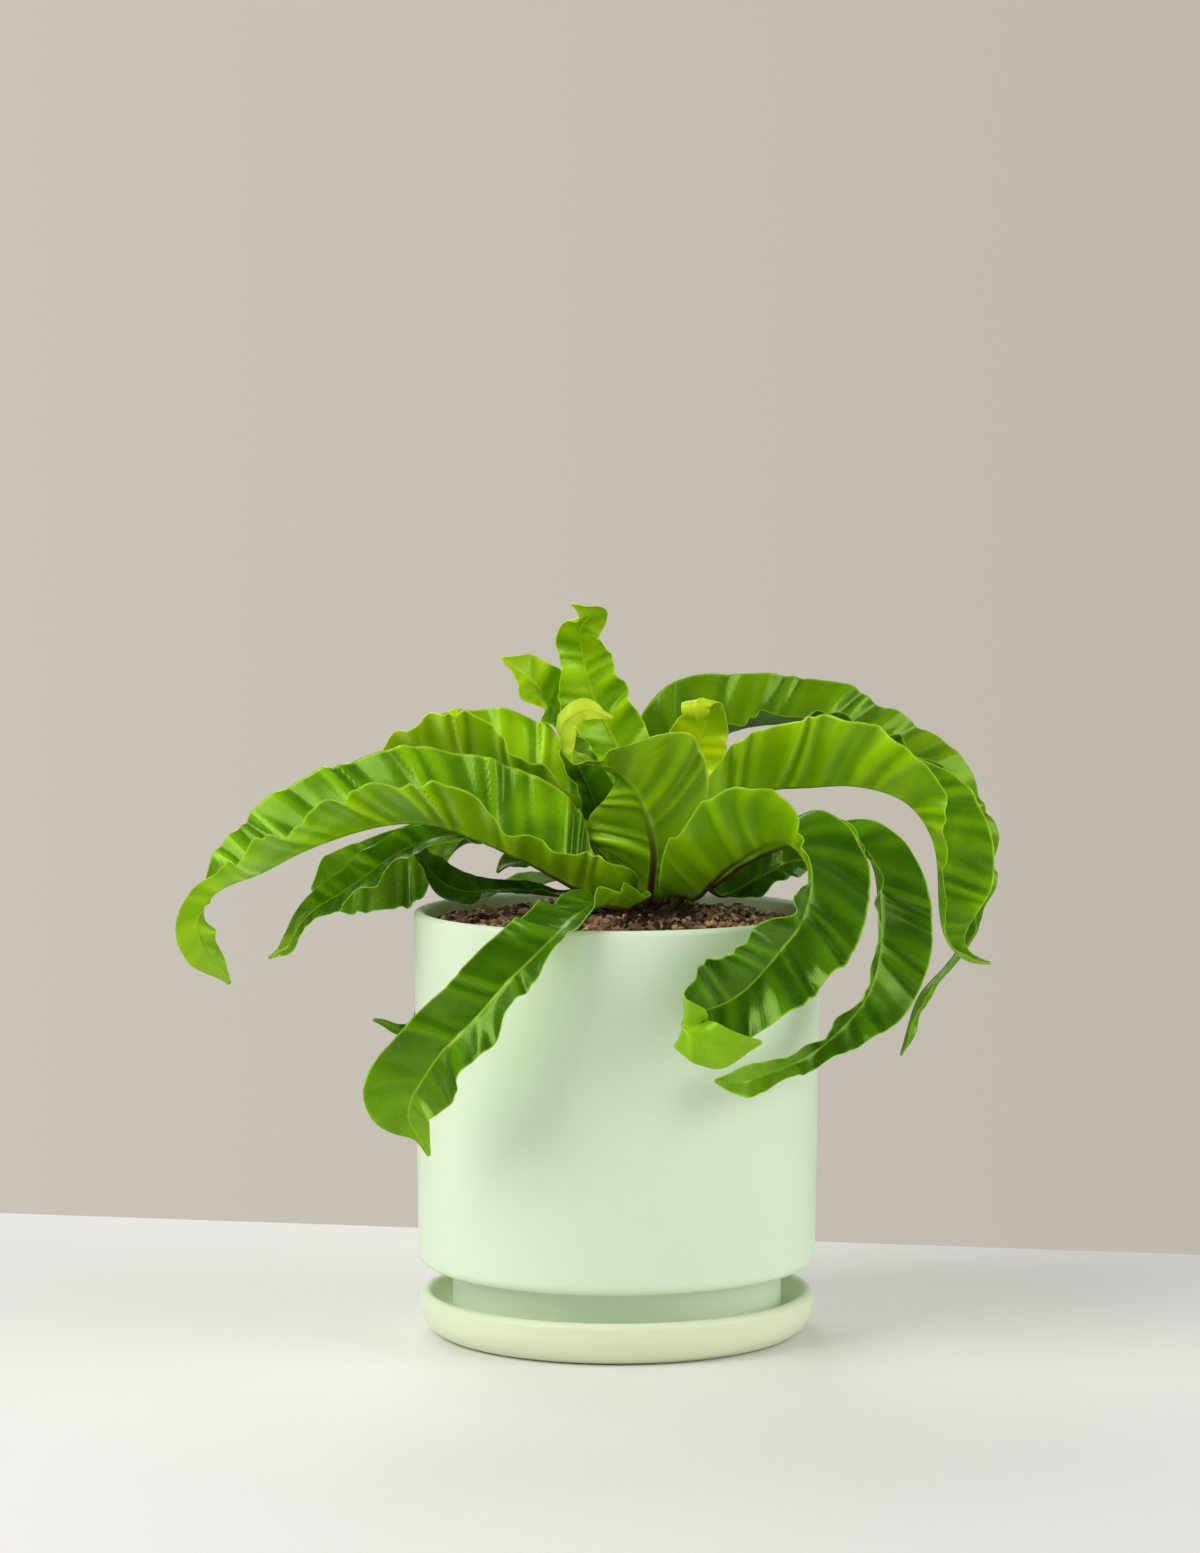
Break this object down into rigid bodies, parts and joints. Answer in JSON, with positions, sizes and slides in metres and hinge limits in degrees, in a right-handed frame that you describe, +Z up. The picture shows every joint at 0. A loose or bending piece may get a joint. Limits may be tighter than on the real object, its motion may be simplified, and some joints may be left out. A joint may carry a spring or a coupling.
{
  "type": "potted bird's-nest fern",
  "caption": "Wavy strap-leaved fern arching out of a plain pale cylinder pot with a recessed foot, on a matching round saucer.",
  "frame": {"origin": "centre of the saucer's flat underside, on the pot's axis", "axes": "+Z up along the pot's axis, +X along the plant's widest spread, to the right seen from the front, and -Y towards the front"},
  "size_m": [0.3685, 0.2869, 0.3231],
  "materials": {
    "pot": "matte",
    "saucer": "matte",
    "soil": "matte",
    "crown": "matte",
    "frond": "satin",
    "young_frond": "satin",
    "old_frond": "satin"
  },
  "bodies": {
    "root": {"crown": "crown", "frond_back_right": "old_frond", "frond_center": "young_frond", "frond_front_left": "frond", "frond_front_right": "frond", "frond_inner_left": "frond", "frond_left_back": "old_frond", "frond_left_long": "frond", "frond_left_low": "frond", "frond_left_rim": "old_frond", "frond_left_short": "frond", "frond_rear": "frond", "frond_rear_left": "frond", "frond_rear_left_long": "frond", "frond_rear_low_left": "old_frond", "frond_rear_right": "frond", "frond_rear_right_long": "frond", "frond_right_droop": "frond", "frond_right_low": "old_frond", "frond_right_upper": "young_frond", "frond_scroll": "young_frond", "frond_top": "frond", "frond_top_left": "frond", "frond_upper_left": "frond", "pot": "pot", "saucer": "saucer", "soil": "soil"}
  },
  "joints": []
}
